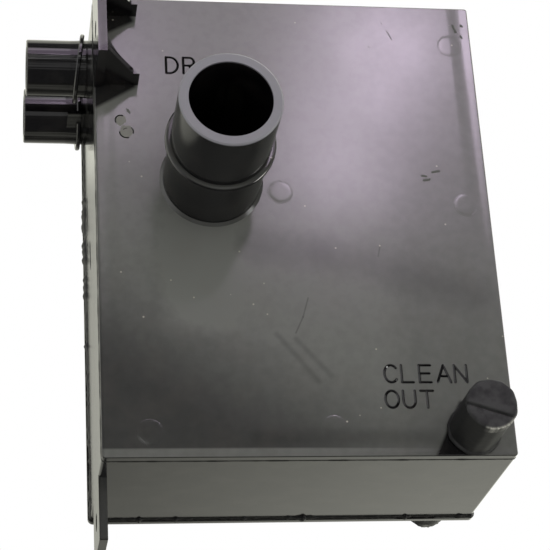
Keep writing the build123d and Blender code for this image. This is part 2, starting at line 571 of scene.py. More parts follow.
@dataclass(frozen=True)
class MouldedAbs(Finish):
    """Black ABS moulded in a polished steel tool.

    Fresh from such a tool it is a deep black with a clear gloss, over faint waves and with a sink
    along the walls behind the face. Dust that settled while the trap lay on its back leaves a grey
    bloom on what faces the front. The bloom thins towards the face's lower left corner as painted
    shade where the light falls off, save for a band along its lower rim that stays light as a painted
    highlight of the rim. It thins towards the right side too, and it has stripes, specks and smudges:
    some stripes are less dust, and others are painted shadows of the wing's gussets and of the cap,
    painted light below the drain and painted shade over the slanted baffle behind the face. The
    inlet tubes carry fine marks along their length, and the drain's mouth is scuffed grey.

    A pair of values that ends in range or facing gives where a layer starts and where it is whole,
    and a pair of shares gives how much there is at those two. Places in millimetres are counted
    from the face's corner.
    """

    name: str = "moulded_black_abs"
    colour: str = "#0b0a0c"
    bloom_colour: str = "#696a66"
    bloom_share: float = 1.0
    bloom_facing: tuple[float, float] = (-0.55, -0.95)
    bloom_grain_mm: float = 2.6
    bloom_grain_range: tuple[float, float] = (0.25, 0.75)
    bloom_grain_shares: tuple[float, float] = (0.91, 1.04)
    lower_left_shade_share: float = 0.24
    lower_left_shade_line_mm: tuple[float, float] = (22.0, 68.0)
    lower_left_shade_slope: float = 0.55
    rim_highlight_share: float = 0.8
    rim_highlight_mm: tuple[float, float] = (3.0, 2.0)
    right_side_loss: float = 0.17
    right_side_mm: tuple[float, float] = (70.0, 86.0)
    forward_share: float = 0.35
    forward_mm: tuple[float, float] = (-18.0, -14.0)
    dust_and_shade_stripes: tuple[DustAndShadeStripe, ...] = (
        # painted shade: two faint dark lines over the slanted baffle behind the face
        DustAndShadeStripe((46.4, 34.0), (56.7, 20.7)),
        DustAndShadeStripe((51.4, 32.6), (60.0, 22.4)),
        DustAndShadeStripe((55.4, 44.4), (53.7, 38.9), 0.35, 0.4),
        DustAndShadeStripe((53.7, 38.9), (51.5, 34.3), 0.35, 0.4),
        DustAndShadeStripe((76.2, 60.2), (75.4, 56.9), 0.35, 0.4),
        # painted shadows of the wing's two gussets on the face below them
        DustAndShadeStripe((0.0, 104.6), (7.0, 108.9), 4.0, 0.94, 0.65),
        DustAndShadeStripe((0.0, 126.6), (7.0, 130.3), 4.0, 0.94, 0.65),
        # painted light: more bloom below the drain, lifting the shade of the spigot there
        DustAndShadeStripe((28.0, 58.0), (27.0, 44.0), 13.0, -0.35, 0.35),
        # painted shadow of the front cap on the face to its left
        DustAndShadeStripe((92.5, 1.5), (96.0, 8.5), 5.6, 0.95, 0.8),
        DustAndShadeStripe((40.0, 60.0), (58.0, 58.0), 9.0, 0.3),
        DustAndShadeStripe((62.5, 57.5), (101.0, 45.5), 9.0, 0.25),
        DustAndShadeStripe((40.0, 5.5), (86.0, 5.5), 3.2, 0.2, 0.1),
    )
    speck_size_mm: float = 3.2
    speck_colour: str = "#99968a"
    smudge_size_mm: float = 8.0
    smudge_colour: str = "#605a52"
    smudge_share: float = 0.07
    smudge_range: tuple[float, float] = (0.42, 0.7)
    scuff_colour: str = "#7f7e83"
    scuff_roughness: float = 0.5
    scuff_mm: tuple[float, float] = (-43.2, -43.9)
    gloss_size_mm: float = 12.0
    gloss_range: tuple[float, float] = (0.3, 0.7)
    roughness_low: float = 0.135
    roughness_high: float = 0.145
    wave_size_mm: float = 26.0
    wave_height_mm: float = 0.05
    draw_size_mm: float = 1.5
    draw_stretch: float = 0.02
    draw_height_mm: float = 0.13
    face_width_mm: float = 108.0
    sink_depth_mm: float = 0.05
    sink_middle_mm: float = 2.8
    sink_end_mm: float = 6.5

    def add_nodes(self, graph: Graph, place: Socket) -> None:
        """Add the dust's layers over the black, the gloss and the relief.

        Args:
            graph: Graph of the material.
            place: Object coordinates.
        """
        axes = graph.axes(place)
        bloom = graph.math("MULTIPLY", self.bloom(graph, place, axes), self.bloom_share)
        smudge = graph.noise(place, self.smudge_size_mm, detail=5.0)
        smudge = graph.ramp(smudge, *self.smudge_range, 0.0, self.smudge_share)
        specks = graph.specks(place, self.speck_size_mm)
        scuff = graph.ramp(axes["Y"], *from_corner(self.scuff_mm, 1))
        colour = graph.layered(
            self.colour, (bloom, self.bloom_colour), (smudge, self.smudge_colour),
            (specks, self.speck_colour), (scuff, self.scuff_colour),
        )
        gloss = graph.noise(place, self.gloss_size_mm, detail=1.0)
        gloss = graph.ramp(gloss, *self.gloss_range, self.roughness_low, self.roughness_high)
        roughness = graph.between(scuff, gloss, self.scuff_roughness)
        waves = graph.noise(place, self.wave_size_mm, detail=1.0)
        height = graph.chain(
            "ADD", graph.math("MULTIPLY", waves, self.wave_height_mm * MM),
            self.edge_sink(graph, axes), self.draw_marks(graph, place, axes),
        )
        graph.finish({"Base Color": colour, "Roughness": roughness, "IOR": ABS_IOR}, height)

    def bloom(self, graph: Graph, place: Socket, axes: bpy.types.NodeOutputs) -> Socket:
        """Amount of dust, with painted shade and light in it: 1 where whole, 0 on what doesn't face the
        front.

        Args:
            graph: Graph of the material.
            place: Object coordinates.
            axes: Their X, Y and Z sockets.

        Returns:
            The amount's socket.
        """
        # Painted shade: the bloom thins towards the lower left corner, where the light falls off.
        diagonal = graph.math("MULTIPLY_ADD", axes["X"], self.lower_left_shade_slope, axes["Z"])
        lower_left_shade = graph.ramp(diagonal, *from_corner(self.lower_left_shade_line_mm, 2), self.lower_left_shade_share, 1.0)
        # Painted highlight: a light band along the lower rim keeps its bloom.
        rim = graph.ramp(axes["Z"], *from_corner(self.rim_highlight_mm, 2), 0.0, self.rim_highlight_share)
        above = graph.math("GREATER_THAN", axes["Z"], FACE_CORNER[2] * MM)
        right_side_end = 1.0 - self.right_side_loss
        grain = graph.noise(place, self.bloom_grain_mm, detail=6.0)
        return graph.chain(
            "MULTIPLY",
            graph.forward_facing(*self.bloom_facing),
            graph.ramp(axes["X"], -MM, MM),
            graph.ramp(axes["Y"], *from_corner(self.forward_mm, 1), self.forward_share, 1.0),
            graph.math("MAXIMUM", lower_left_shade, graph.math("MULTIPLY", rim, above)),
            graph.ramp(axes["X"], *from_corner(self.right_side_mm, 0), 1.0, right_side_end),
            graph.ramp(grain, *self.bloom_grain_range, *self.bloom_grain_shares),
            *[stripe.build(graph, axes) for stripe in self.dust_and_shade_stripes],
        )

    def draw_marks(self, graph: Graph, place: Socket, axes: bpy.types.NodeOutputs) -> Socket:
        """Height of the fine marks along the inlet tubes, drawn as the tool's cores slid off them.

        It is noise that is stretched along X, and it is there only to the left of the box.

        Args:
            graph: Graph of the material.
            place: Object coordinates.
            axes: Their X, Y and Z sockets.

        Returns:
            The height's socket.
        """
        drawn = graph.add("ShaderNodeMapping", {"Vector": place, "Scale": (self.draw_stretch, 1.0, 1.0)})
        marks = graph.noise(drawn.outputs["Vector"], self.draw_size_mm, detail=2.0)
        height = graph.ramp(axes["X"], -MM, -2 * MM, 0.0, self.draw_height_mm * MM)
        return graph.math("MULTIPLY", marks, height)

    def edge_sink(self, graph: Graph, axes: bpy.types.NodeOutputs) -> Socket:
        """Height of the shallow valley a little inside the face's lower, left and right edges.

        With d as the distance to the nearest of them, the height falls smoothly from 0 at d = 0 to
        the lowest at the sink's middle, and rises back to 0 at its end.

        Args:
            graph: Graph of the material.
            axes: X, Y and Z sockets of Object coordinates.

        Returns:
            The height's socket.
        """
        from_right = graph.math("SUBTRACT", self.face_width_mm * MM, axes["X"])
        from_below = graph.math("SUBTRACT", axes["Z"], FACE_CORNER[2] * MM)
        distance = graph.chain("MINIMUM", axes["X"], from_right, from_below)
        middle = self.sink_middle_mm * MM
        fall = graph.ramp(distance, 0.0, middle)
        rise = graph.ramp(distance, self.sink_end_mm * MM, middle)
        return graph.chain("MULTIPLY", fall, rise, -self.sink_depth_mm * MM)


@dataclass(frozen=True)
class WeldFlash(Finish):
    """ABS squeezed out of a hot plate weld: dull, charred black with a coarse torn grain."""

    name: str = "charred_abs_weld"
    colour: str = "#0b0b0a"
    torn_colour: str = "#4a4942"
    torn_range: tuple[float, float] = (0.66, 0.78)
    grain_size_mm: float = 1.1
    grain_height_mm: float = 0.3
    grain_strength: float = 0.6
    roughness: float = 0.55

    def add_nodes(self, graph: Graph, place: Socket) -> None:
        """Add the grain, with a paler colour on its tops.

        Args:
            graph: Graph of the material.
            place: Object coordinates.
        """
        grain = graph.noise(place, self.grain_size_mm, detail=4.0)
        colour = graph.layered(self.colour, (graph.ramp(grain, *self.torn_range), self.torn_colour))
        inputs = {"Base Color": colour, "Roughness": self.roughness, "IOR": ABS_IOR}
        graph.finish(inputs, grain, self.grain_strength, self.grain_height_mm * MM)


@dataclass(frozen=True)
class DippedVinyl(Finish):
    """Dip-moulded plasticised PVC: soft, dull, mottled, dusty on top, with a painted highlight on its torn
    rim.
    """

    name: str = "dipped_black_vinyl"
    colour: str = "#121213"
    dusty_colour: str = "#3b3b3b"
    dust_facing: tuple[float, float] = (0.25, -0.95)
    patch_range: tuple[float, float] = (0.25, 0.65)
    patch_shares: tuple[float, float] = (0.35, 1.0)
    speck_size_mm: float = 1.5
    speck_colour: str = "#8d8c86"
    rim_highlight_colour: str = "#b2b1a6"
    highlight_break_size_mm: float = 0.45
    highlight_break_range: tuple[float, float] = (0.25, 0.4)
    mottle_size_mm: float = 2.4
    mottle_height_mm: float = 0.12
    mottle_strength: float = 0.5
    roughness: float = 0.58
    specular_level: float = 0.25

    def add_nodes(self, graph: Graph, place: Socket) -> None:
        """Add the mottle, the dust and the painted highlight along the torn rim, which follows the
        mesh's attribute "rim_highlight".

        Args:
            graph: Graph of the material.
            place: Object coordinates.
        """
        mottle = graph.noise(place, self.mottle_size_mm, detail=4.0)
        highlight_break = graph.ramp(graph.noise(place, self.highlight_break_size_mm, detail=2.0), *self.highlight_break_range)
        rim_highlight = graph.add("ShaderNodeAttribute", attribute_name="rim_highlight").outputs["Fac"]
        patches = graph.ramp(mottle, *self.patch_range, *self.patch_shares)
        dust = graph.math("MULTIPLY", graph.forward_facing(*self.dust_facing), patches)
        specks = graph.specks(place, self.speck_size_mm)
        colour = graph.layered(
            self.colour, (dust, self.dusty_colour), (specks, self.speck_colour),
            # painted highlight: a pale, broken line along the torn rim
            (graph.math("MULTIPLY", rim_highlight, highlight_break), self.rim_highlight_colour),
        )
        inputs = {"Base Color": colour, "Roughness": self.roughness}
        inputs["Specular IOR Level"] = self.specular_level
        graph.finish(inputs, mottle, self.mottle_strength, self.mottle_height_mm * MM)


@dataclass
class Housing:
    """The welded box: the CAD moulding and cover, and the fine forms on them.

    A pin mark is given by its X and Z on the face, a blister by those and its radius, and a
    blister's edge by the X, Z and radius of an arc and its two angles. A nick or a scratch runs
    from one X and Z to another. The size of a ridge is its width and its height. A smear is given
    by its distance from the box's rear, its half width, its lowest and highest Z and its height.
    """

    width: float = 108.0
    height: float = 136.5
    depth: float = 53.7
    cover_thickness: float = 2.3
    corner_radius: float = 0.8
    pin_marks: tuple[tuple[float, float], ...] = (
        (49.7, 75.9), (101.4, 72.8), (101.6, 123.8), (12.3, 6.85), (60.0, 7.7),
    )
    pin_radius: float = 3.3
    pin_rise: float = 0.026
    pin_power: float = 8.0
    pin_rim_size: tuple[float, float] = (0.45, 0.025)
    blisters: tuple[tuple[float, float, float], ...] = ((7.0, 97.2, 1.55), (8.5, 93.7, 1.95))
    blister_rise: float = 0.1
    blister_power: float = 3.0
    blister_ragged: float = 0.12
    blister_edges: tuple[tuple[float, float, float, float, float], ...] = (
        (7.0, 97.2, 1.5, 70, 205), (8.5, 93.7, 1.9, 185, 285), (8.5, 93.7, 1.8, -15, 40),
        (8.4, 93.9, 0.8, 80, 150),
    )
    blister_edge_size: tuple[float, float] = (0.42, 0.16)
    nicks: tuple[tuple[float, float, float, float], ...] = (
        (8.9, 100.5, 9.4, 99.7), (92.9, 82.8, 94.7, 83.2), (89.8, 81.6, 90.8, 81.5),
        (90.2, 80.2, 91.7, 80.5), (103.2, 130.6, 103.9, 128.5), (105.7, 130.8, 105.9, 130.4),
        (105.3, 127.1, 105.5, 126.7),
    )
    nick_size: tuple[float, float] = (0.75, 0.16)
    scratches: tuple[tuple[float, float, float, float], ...] = (
        (83.6, 128.3, 84.9, 125.6), (82.2, 131.0, 82.4, 130.7), (78.0, 122.8, 78.2, 122.6),
    )
    scratch_size: tuple[float, float] = (0.35, 0.05)
    groove_shadow_y: float = 3.0
    groove_shadow_half_width: float = 0.55
    groove_shadow_rise: float = 0.16
    groove_shadow_unevenness: float = 0.4
    groove_shadow_sunk: tuple[float, float] = (0.15, 0.02)
    wing_plate: float = 2.4
    wing_reach: float = 19.1
    gusset_top: float = 109.9
    gusset_slope: float = 7.9 / 12.9
    fillet_radius: float = 4.5
    fillet_sunk: float = 0.3
    fillet_gap: float = 0.05
    flash_rise: float = 0.46
    flash_unevenness: float = 0.2
    flash_lumps: float = 0.4
    flash_bristle: float = 0.12
    flash_half_width: float = 1.5
    flash_width_unevenness: float = 0.3
    flash_drift: float = 0.14
    flash_sunk: float = 0.1
    swollen_z: tuple[float, float] = (80.0, 20.0)
    swollen_rise: float = 0.5
    swollen_unevenness: float = 0.4
    swollen_width: float = 0.8
    smears: tuple[tuple[float, float, float, float, float], ...] = (
        (8.0, 1.5, 79.0, 91.0, 0.2), (14.0, 0.6, 84.0, 95.0, 0.18), (23.0, 0.4, 66.0, 76.0, 0.18),
    )
    smear_unevenness: float = 0.4
    smear_bluntness: float = 0.01
    smear_sunk: tuple[float, float] = (0.03, 0.2)

    def dress(
        self, abs_finish: Material, clean_finish: Material, blister_finish: Material, weld_finish: Material
    ) -> None:
        """Give the CAD nodes their finish, and add the weld's forms, the fillet and the face's marks.

        Args:
            abs_finish: Moulded black ABS with its dust.
            clean_finish: The same without dust.
            blister_finish: The same, roughened where gas blistered it.
            weld_finish: Charred weld flash.
        """
        for node in ("trap_body", "rear_cover"):
            piece = frame["nodes"][node]
            piece.data.materials.clear()
            piece.data.materials.append(abs_finish)
        pins = [
            swelling(*place, self.pin_radius, self.pin_rise, self.pin_power, 0.0) for place in self.pin_marks
        ]
        circle = (self.pin_radius, self.pin_radius)
        rims = [ridge(arc(place, circle, 0, 360), *self.pin_rim_size) for place in self.pin_marks]
        lumps = [
            swelling(*place, self.blister_rise, self.blister_power, self.blister_ragged)
            for place in self.blisters
        ]
        edges = [
            ridge(arc((x, z), (reach, reach), start, end), *self.blister_edge_size)
            for x, z, reach, start, end in self.blister_edges
        ]
        nicks = [ridge(line(place[:2], place[2:]), *self.nick_size) for place in self.nicks]
        scratches = [ridge(line(place[:2], place[2:]), *self.scratch_size) for place in self.scratches]
        for piece, finish in (
            (self.weld_flash(), weld_finish),
            (self.weld_smears(), weld_finish),
            (self.wing_fillet(), abs_finish),
            (mesh_object("ejector_pin_marks", pins), abs_finish),
            (mesh_object("ejector_pin_rims", rims), abs_finish),
            (mesh_object("face_blisters", lumps), blister_finish),
            (mesh_object("blister_edges", edges), clean_finish),
            (mesh_object("face_nicks", nicks), abs_finish),
            (mesh_object("face_scratches", scratches), abs_finish),
            # painted shadow: a dark charred ridge standing in for the shadow in the groove behind the face
            (self.groove_shadow(), weld_finish),
        ):
            settle(piece, Body.TRAP, finish)

    def outline(self, count: int) -> tuple[np.ndarray, np.ndarray, np.ndarray]:
        """Walk round the box's four sides at an even pace.

        The walk is a rectangle whose corners are quarter circles. A point's normal points away
        from the box.

        Args:
            count: Number of points.

        Returns:
            Points and normals in X and Z, and the angle from 0 to 2 pi that tells how far along
            the walk each point is.
        """
        radius = self.corner_radius
        right, top = self.width - radius, self.height - radius
        straight = np.array([self.width - 2 * radius, self.height - 2 * radius] * 2)
        pieces = np.insert(straight, [1, 2, 3, 4], pi / 2 * radius)
        ends = np.cumsum(pieces)
        walk = np.linspace(0, ends[-1], count, endpoint=False)
        part = np.searchsorted(ends, walk, side="right")
        inside = walk - (ends[part] - pieces[part])
        side = part // 2
        on_arc = part % 2 == 1
        heading = side * pi / 2 + np.where(on_arc, inside / radius, 0.0)
        normal = joined(np.sin(heading), -np.cos(heading))
        centre = np.array([[radius, radius], [right, radius], [right, top], [radius, top]])
        base = centre[np.where(on_arc, (side + 1) % 4, side)]
        along = joined(np.cos(side * pi / 2), np.sin(side * pi / 2))
        points = base + normal * radius + along * np.where(on_arc, 0.0, inside)[:, None]
        return points, normal, walk / ends[-1] * 2 * pi

    def weld_flash(self) -> Piece:
        """The ragged bead that the weld pushed out between the box and its cover.

        Its section is a flat oval in the rebate. Its height and width follow sums of sines along
        the walk round the box, with a sharper sum that leaves torn lumps and a finer one that
        leaves bristle. On the left side it swells by a bell curve in Z, where the weld was
        pressed harder.

        Returns:
            The bead.
        """
        points, normal, angle = self.outline(1400)
        around = np.linspace(0, 2 * pi, 12, endpoint=False)
        lumps = np.clip(wobble(angle, 7, (31, 53, 97, 151, 233)), 0, None) ** 2
        middle, spread = self.swollen_z
        swollen = np.exp(-((points[:, 1] - middle) / spread) ** 4) * (normal[:, 0] < -0.5)
        rise = self.flash_rise + self.flash_unevenness * wobble(angle, 3, (9, 17, 29, 61))
        rise += self.flash_lumps * lumps
        rise += self.flash_bristle * wobble(angle, 13, (101, 157, 211, 307))
        rise += swollen * (self.swollen_rise + self.swollen_unevenness * wobble(angle, 19, (43, 91, 173)))
        breadth = self.flash_half_width + self.flash_width_unevenness * wobble(angle, 5, (13, 37, 71, 143))
        breadth += self.swollen_width * swollen
        drift = self.flash_drift * wobble(angle, 11, (7, 19, 43))
        middle_y = self.depth - self.cover_thickness - self.flash_sunk
        out = rise[:, None] * np.cos(around) - self.flash_sunk
        behind = middle_y + drift[:, None] + breadth[:, None] * np.sin(around)
        return mesh_object("weld_flash", [(carried(points, normal, out, behind), True, True)])

    def weld_smears(self) -> Piece:
        """Dark melt smeared over the left wall, in front of the weld.

        Each smear is a long low lump on the wall: its height falls with the fourth power of the
        distance from its middle, and a sum of sines along Z makes its edges ragged.

        Returns:
            The smears.
        """
        along = np.linspace(-1, 1, 60)[:, None]
        across = np.linspace(-1, 1, 9)
        edge_sunk, back_sunk = self.smear_sunk
        grids = []
        for seed, (before, half_width, low, high, rise) in enumerate(self.smears):
            ragged = 1 + self.smear_unevenness * wobble((along + 1) * pi, seed, (2, 5, 11))
            edge = ragged * np.sqrt(1 - along ** 2 + self.smear_bluntness)
            height = rise * (1 - along ** 4) * (1 - across ** 4) - edge_sunk
            front = joined(
                -height, self.depth - before + half_width * edge * across,
                (low + high) / 2 + (high - low) / 2 * along,
            )
            back = front[:, ::-1].copy()
            back[..., 0] = back_sunk
            grids.append((np.concatenate([front, back], axis=1), False, True))
        return mesh_object("weld_smears", grids)

    def groove_shadow(self) -> Piece:
        """A fine dark line round the four walls, just behind the face: painted shadow of the groove there.

        Its section is a low triangle on the wall, whose height follows a sum of sines.

        Returns:
            The closed band.
        """
        points, normal, angle = self.outline(900)
        rise = self.groove_shadow_rise * (1 + self.groove_shadow_unevenness * wobble(angle, 23, (29, 61, 127)))
        root, foot = self.groove_shadow_sunk
        out = joined(-root, -foot, rise, -foot)
        behind = self.groove_shadow_y + self.groove_shadow_half_width * np.array([0, -1, 0, 1])
        return mesh_object("groove_shadow_line", [(carried(points, normal, out, behind), True, True)])

    def wing_fillet(self) -> Piece:
        """The hollow fillet between the wing's plate and the top of its lower gusset.

        Its section is a corner hollowed by a quarter circle, cut off where the gusset's slanted
        edge ends it: at a distance y in front of the face, X is the smaller of the two.

        Returns:
            The closed fillet.
        """
        forward = np.linspace(-self.fillet_sunk, self.wing_reach - self.fillet_gap, 48)[:, None]
        room = (self.wing_reach - forward) * self.gusset_slope
        radius, sunk = self.fillet_radius, self.fillet_sunk
        bend = np.linspace(0, pi / 2, 24)
        right = np.concatenate([1 - np.sin(bend), [0, 0, 1]])
        above = np.concatenate([1 - np.cos(bend), [1, 0, 0]])
        right_sunk = np.concatenate([0 * bend, [sunk, sunk, 0]])
        above_sunk = np.concatenate([0 * bend, [0, sunk, sunk]])
        grid = joined(
            self.wing_plate + np.minimum(radius * right, room) - right_sunk, -forward,
            self.gusset_top + radius * above - above_sunk,
        )
        first, last = (end.mean(axis=1, keepdims=True) + 0 * end for end in (grid[:1], grid[-1:]))
        return mesh_object("wing_fillet", [(np.concatenate([first, grid, last]), False, True)])


@dataclass
class Drain:
    """The small fillet where the drain's spigot meets the face, kept dark as painted shade at the root."""

    x: float = 31.1
    z: float = 79.2
    radius: float = 26.67 / 2
    root_radius: float = 0.4
    sunk: float = 0.3

    def dress(self, dull_shaded_finish: Material) -> None:
        """Add the root fillet.

        Args:
            dull_shaded_finish: Dull black ABS without bloom, dark as painted shade at the root.
        """
        settle(self.root_fillet(), Body.TRAP, dull_shaded_finish)

    def root_fillet(self) -> Piece:
        """A ring whose section is the corner between face and spigot, hollowed by a quarter circle.

        Returns:
            The closed ring.
        """
        reach, inner = self.root_radius, self.radius - self.sunk
        bend = np.linspace(0, pi / 2, 14)
        radial = np.concatenate([
            self.radius + reach - reach * np.sin(bend), [inner, inner, self.radius + reach]
        ])
        behind = np.concatenate([-reach + reach * np.cos(bend), [-reach, self.sunk, self.sunk]])
        turn = np.linspace(0, 2 * pi, 128, endpoint=False)[:, None]
        grid = joined(self.x + radial * np.cos(turn), behind, self.z + radial * np.sin(turn))
        return mesh_object("drain_root_fillet", [(grid, True, True)])


@dataclass
class Marking:
    """A plain functional word raised on the face, in thin pointed strokes."""

    name: str
    text: str
    left: float
    bottom: float
    letter_width: float
    letter_height: float
    pitch: float
    stroke_size: tuple[float, float] = (0.7, 0.36)

    def dress(self, clean_finish: Material) -> None:
        """Add the word to the face.

        Args:
            clean_finish: Moulded black ABS without dust.
        """
        size = np.array([self.letter_width, self.letter_height])
        strokes = [
            ridge([self.left + place * self.pitch, self.bottom] + path * size, *self.stroke_size)
            for place, letter in enumerate(self.text)
            for path in LETTERS[letter]
        ]
        settle(mesh_object(self.name, strokes), Body.TRAP, clean_finish)


@dataclass
class PushCap:
    """A soft dipped cap over a clean-out stub, with a flared lip, a parting line and a torn rim.

    The stub stands on a wall at foot_y, and the cap comes off it in the direction -1, to the
    front, or 1, to the rear. The parting line runs between two points of the top, counted from
    the cap's axis.
    """

    name: str
    node: str
    body: Body
    foot_y: float
    direction: int
    stub_length: float
    x: float = 96.7
    z: float = 6.8
    inner_radius: float = 5.35
    wall: float = 1.38
    roof: float = 2.0
    foot_gap: float = 0.5
    foot_round: float = 0.15
    end_gap: float = 0.3
    flare: float = 0.45
    flare_height: float = 1.6
    flare_drop: float = 1.28
    foot_flare: float = 0.27
    top_round: float = 0.9
    unevenness: float = 0.17
    uneven_from: float = 0.2
    parting_from: tuple[float, float] = (-5.85, 0.05)
    parting_to: tuple[float, float] = (4.87, -3.46)
    groove_depth: float = 0.75
    groove_half_width: float = 0.33
    step_depth: float = 0.22
    step_width: float = 0.8
    # The torn rim's mask shapes the lifted edge and also carries the painted highlight along it.
    torn_deg: tuple[float, float] = (-112.0, -28.0)
    torn_fade: float = 0.2
    torn_inset: float = 0.2
    torn_width: float = 0.2
    torn_level: float = 0.75
    torn_unevenness: float = 0.35
    torn_reach: float = 0.35
    torn_rise: float = 0.3

    def dress(self, vinyl_finish: Material) -> None:
        """Add the cap in place of its plain CAD solid.

        Args:
            vinyl_finish: Dipped vinyl.
        """
        piece = self.skin()
        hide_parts(self.node)
        settle(piece, self.body, vinyl_finish)

    def profile(self) -> np.ndarray:
        """The turned section from the middle of the top, down the outside and up the inside.

        Returns:
            Points as radius and distance from the wall that the stub stands on.
        """
        inner, outer = self.inner_radius, self.inner_radius + self.wall
        roof = self.stub_length + self.end_gap
        top, rounded = roof + self.roof, self.top_round
        bend = np.linspace(0, pi / 2, 10)[1:]
        low = self.foot_gap + self.flare_height
        fall = np.linspace(0, 1, 8)[1:]
        return np.vstack([
            joined(np.linspace(0, outer - rounded, 34), top),
            joined(outer - rounded + rounded * np.sin(bend), top - rounded + rounded * np.cos(bend)),
            joined(outer, np.linspace(top - rounded, low, 22)[1:]),
            joined(outer + self.flare * np.sin(fall * pi / 2), low - self.flare_drop * fall),
            [outer + self.foot_flare, self.foot_gap],
            [inner + self.foot_round, self.foot_gap],
            [inner, self.foot_gap + self.foot_round],
            joined(inner, np.linspace(low, roof, 8)),
            [inner / 2, roof],
            [0, roof],
        ])

    def skin(self) -> Piece:
        """The cap's whole surface: the section turned about its axis, then aged.

        The parting line is a groove whose depth falls as a bell curve with the distance from a
        chord of the top, with a low step on one side of it. The torn rim lifts and spreads the
        edge by a sum of sines, within a bell curve about the edge's radius and only between two
        angles.

        Returns:
            The closed cap.
        """
        turn = np.linspace(0, 2 * pi, 192, endpoint=False)
        radius, reach = (np.repeat(part[None], len(turn), 0) for part in self.profile().T)
        outer = self.inner_radius + self.wall
        top = self.stub_length + self.end_gap + self.roof
        outside = reach > top - 3 * self.top_round
        lean = wobble(turn, 21, (3, 5, 8, 13))[:, None]
        radius = radius + self.unevenness * lean * (radius > self.inner_radius + self.uneven_from)

        off = self.from_parting(radius * np.cos(turn)[:, None], radius * np.sin(turn)[:, None])
        groove = np.exp(-(off / self.groove_half_width) ** 2) * outside
        step = np.clip(-off / self.step_width, 0, 1) * outside * (radius < outer)
        reach = reach - self.groove_depth * groove - self.step_depth * step

        first, last = np.radians(self.torn_deg)
        away = np.abs(np.angle(np.exp(1j * (turn - (first + last) / 2))))
        window = np.clip(((last - first) / 2 - away) / self.torn_fade, 0, 1)[:, None]
        near_edge = np.exp(-(((radius - outer + self.torn_inset) / self.torn_width) ** 2)) * outside
        rough = (self.torn_level + self.torn_unevenness * wobble(turn, 31, (29, 43, 67, 91)))[:, None]
        torn = window * near_edge * np.clip(rough, 0, None)
        reach = self.direction * (reach + self.torn_rise * torn)
        radius = radius + self.torn_reach * torn

        grid = joined(radius * np.cos(turn)[:, None], reach, radius * np.sin(turn)[:, None])
        grid = grid + [self.x, self.foot_y, self.z]
        piece = mesh_object(self.name, [(grid, True, False)])
        # the torn rim's mask is stored as the painted highlight's attribute
        self.mark_rim_highlight(piece, grid.reshape(-1, 3) + FACE_CORNER, torn.ravel())
        return piece

    def from_parting(self, x: np.ndarray, z: np.ndarray) -> np.ndarray:
        """Distance of points from the parting line.

        Args:
            x: X of the points, from the cap's axis.
            z: Their Z.

        Returns:
            The distances, positive above the line.
        """
        first, last = np.array(self.parting_from), np.array(self.parting_to)
        way = (last - first) / np.hypot(*(last - first))
        return (x - first[0]) * -way[1] + (z - first[1]) * way[0]

    @staticmethod
    def mark_rim_highlight(piece: Piece, points: np.ndarray, rim_highlight: np.ndarray) -> None:
        """Store each vertex's painted highlight, from how torn its nearest grid point is.

        Args:
            piece: The cap.
            points: Points of the grid in millimetres, in the part's frame.
            rim_highlight: Painted highlight of each point, which follows how torn it is.
        """
        mesh = piece.data
        places = np.empty(len(mesh.vertices) * 3)
        mesh.vertices.foreach_get("co", places)
        keys = {tuple(p): w for p, w in zip(np.round(points, 3).tolist(), rim_highlight.tolist())}
        found = [keys.get(tuple(p), 0.0) for p in np.round(places.reshape(-1, 3) / MM, 3).tolist()]
        layer = mesh.attributes.new("rim_highlight", "FLOAT", "POINT")
        layer.data.foreach_set("value", np.array(found, np.float32))


@dataclass(frozen=True)
class Viewpoint:
    """The camera: where it stands and how it is turned, as a fit to the box's edges gave them."""

    lens_mm: float = 124.622
    sensor_mm: float = 36.0
    clip_start: float = 0.01
    place: tuple[float, float, float] = (-0.03148, -0.44402, -0.27984)
    right: tuple[float, float, float] = (0.98791, -0.14403, -0.05743)
    down: tuple[float, float, float] = (0.00854, 0.42035, -0.90732)
    ahead: tuple[float, float, float] = (0.15482, 0.89586, 0.41649)

    def build(self) -> None:
        """Make the camera and set it as the scene's."""
        data = bpy.data.cameras.new("camera")
        data.lens = self.lens_mm
        data.sensor_width = self.sensor_mm
        data.clip_start = self.clip_start
        camera = place_object("camera", data)
        turn = Matrix([self.right, -Vector(self.down), -Vector(self.ahead)]).transposed().to_4x4()
        camera.matrix_world = Matrix.Translation(self.place) @ turn
        bpy.context.scene.camera = camera


@dataclass(frozen=True)
class SoftBox:
    """One soft lamp: a rectangle that faces a point of the object."""

    name: str
    place: tuple[float, float, float]
    aim: tuple[float, float, float]
    size: tuple[float, float]
    radiance: float
    colour: str = "#ffffff"

    def build(self) -> None:
        """Make the lamp. Its power is radiance times area times pi."""
        data = bpy.data.lights.new(self.name, "AREA")
        data.shape = "RECTANGLE"
        data.size, data.size_y = self.size
        data.energy = self.radiance * self.size[0] * self.size[1] * pi
        data.color = linear(self.colour)[:3]
        lamp = place_object(self.name, data)
        lamp.location = self.place
        lamp.rotation_mode = "QUATERNION"
        lamp.rotation_quaternion = (Vector(self.aim) - Vector(self.place)).to_track_quat("-Z", "Y")
        lamp.visible_glossy = False


@dataclass(frozen=True)
class Glow:
    """A soft bright patch of the surroundings that only glossy surfaces mirror."""

    azimuth_deg: float
    elevation_deg: float
    reach_deg: float
    strength: float

    def build(self, graph: Graph, way: Socket) -> Socket:
        """Add the patch's radiance, a smooth bell round its direction.

        Args:
            graph: Graph of the world.
            way: Direction of the ray.

        Returns:
            The radiance's socket.
        """
        azimuth, elevation, reach = np.radians([self.azimuth_deg, self.elevation_deg, self.reach_deg])
        level = np.cos(elevation)
        middle = np.array([np.sin(azimuth) * level, -np.cos(azimuth) * level, np.sin(elevation)])
        near = graph.add("ShaderNodeVectorMath", {0: way, 1: middle.tolist()}, operation="DOT_PRODUCT")
        bell = graph.ramp(near.outputs["Value"], float(np.cos(reach)), 1.0)
        return graph.math("MULTIPLY", bell, self.strength)


